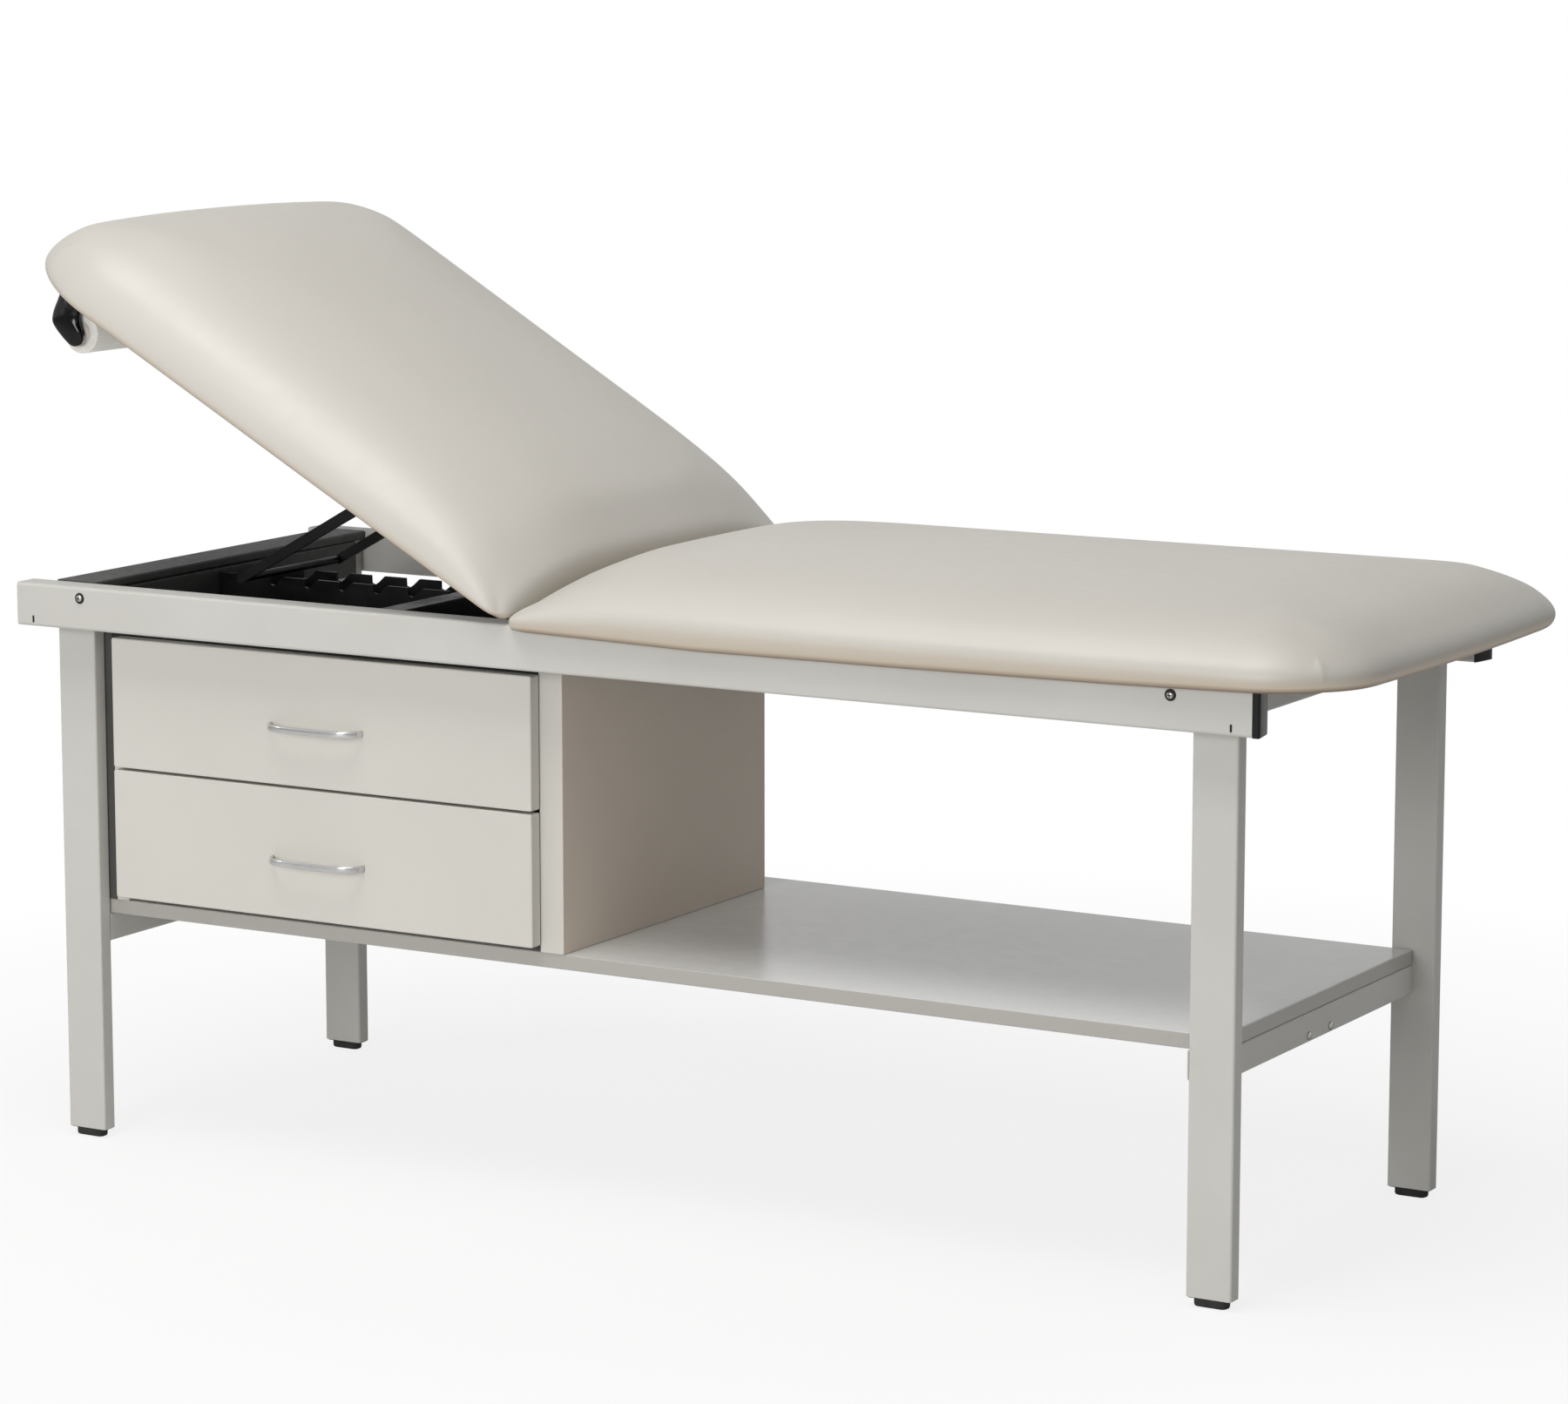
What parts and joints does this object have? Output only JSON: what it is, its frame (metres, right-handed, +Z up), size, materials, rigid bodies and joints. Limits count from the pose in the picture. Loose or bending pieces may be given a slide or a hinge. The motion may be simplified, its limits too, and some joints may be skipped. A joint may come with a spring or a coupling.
{
  "type": "medical exam table",
  "caption": "Steel-framed medical exam table with a ratchet backrest, padded top, two drawers, a lower shelf and a paper roll holder.",
  "frame": {"origin": "on the floor under the middle of the whole table, pads included", "axes": "+Z up, +X to the foot end, -Y to the drawer side, head end at -X"},
  "size_m": [1.79, 0.704, 1.1299],
  "materials": {
    "frame_paint": "satin warm light grey powder coat",
    "black_paint": "semi-gloss black enamel",
    "laminate": "satin warm light grey laminate",
    "shelf_laminate": "satin light grey laminate",
    "dark_panel": "matt black board",
    "vinyl": "soft warm grey upholstery vinyl with fine grain",
    "board": "plywood under a dark dust cover",
    "black_plastic": "glossy black moulding",
    "rubber": "matt black rubber",
    "chrome": "bright chrome",
    "zinc": "bright zinc plate",
    "drawer_box": "foil-wrapped board",
    "paper": "matt white paper"
  },
  "bodies": {
    "frame": {"rail_near": "frame_paint", "rail_far": "frame_paint", "rail_cap_near": "black_plastic", "rail_cap_far": "black_plastic", "leg_head_near": "frame_paint", "leg_head_far": "frame_paint", "leg_foot_near": "frame_paint", "leg_foot_far": "frame_paint", "foot_glide_head_near": "rubber", "foot_glide_head_far": "rubber", "foot_glide_foot_near": "rubber", "foot_glide_foot_far": "rubber", "rail_screw_head_near": "zinc", "rail_screw_head_far": "zinc", "rail_screw_foot_near": "zinc", "rail_screw_foot_far": "zinc", "foot_end_tie": "frame_paint", "lower_tie_head": "frame_paint", "lower_tie_foot": "frame_paint", "head_end_tie": "dark_panel", "rack_tie": "black_paint", "hinge_tie": "black_paint", "ratchet_rack": "black_paint", "head_buffer": "dark_panel", "lower_shelf": "shelf_laminate", "cabinet_side_head": "laminate", "cabinet_side_foot": "laminate", "cabinet_back": "laminate", "cabinet_top": "dark_panel", "cabinet_filler": "dark_panel", "runner_top_head": "zinc", "runner_top_foot": "zinc", "runner_bottom_head": "zinc", "runner_bottom_foot": "zinc", "seat_board": "board", "seat_cushion": "vinyl", "hinge_leaf_seat": "zinc", "hinge_pin": "zinc"},
    "backrest": {"backrest_board": "board", "backrest_cushion": "vinyl", "hinge_leaf_backrest": "zinc", "prop_bracket_near": "black_paint", "prop_bracket_far": "black_paint", "prop_pin_near": "zinc", "prop_pin_far": "zinc", "paper_bracket_near": "black_plastic", "paper_bracket_far": "black_plastic"},
    "prop": {"prop_bail": "black_paint"},
    "paper_roll": {"paper_roll": "paper", "paper_roll_bar": "black_plastic"},
    "drawer_top": {"drawer_front_top": "laminate", "drawer_box_top": "drawer_box", "drawer_pull_top": "chrome", "slide_top_head": "zinc", "slide_top_foot": "zinc"},
    "drawer_bottom": {"drawer_front_bottom": "laminate", "drawer_box_bottom": "drawer_box", "drawer_pull_bottom": "chrome", "slide_bottom_head": "zinc", "slide_bottom_foot": "zinc"}
  },
  "joints": [
    {"name": "backrest_hinge", "type": "hinge", "parent": "frame", "child": "backrest", "pos_m": [-0.168, 0, 0.7], "axis": [0, 1, 0], "range_deg": [-29, 31]},
    {"name": "prop_pivot", "type": "hinge", "parent": "backrest", "child": "prop", "pos_m": [-0.44088, 0, 0.85126], "axis": [0, 1, 0], "range_deg": [-62, 58]},
    {"name": "paper_roll_spin", "type": "hinge", "parent": "backrest", "child": "paper_roll", "pos_m": [-0.84024, 0, 1.01775], "axis": [0, 1, 0], "continuous": true},
    {"name": "drawer_top_slide", "type": "slide", "parent": "frame", "child": "drawer_top", "axis": [0, -1, 0], "range_m": [0, 0.3]},
    {"name": "drawer_bottom_slide", "type": "slide", "parent": "frame", "child": "drawer_bottom", "axis": [0, -1, 0], "range_m": [0, 0.3]}
  ],
  "couplings": [
    {"joint": "prop_pivot", "follows": "backrest_hinge", "ratio": -2}
  ]
}
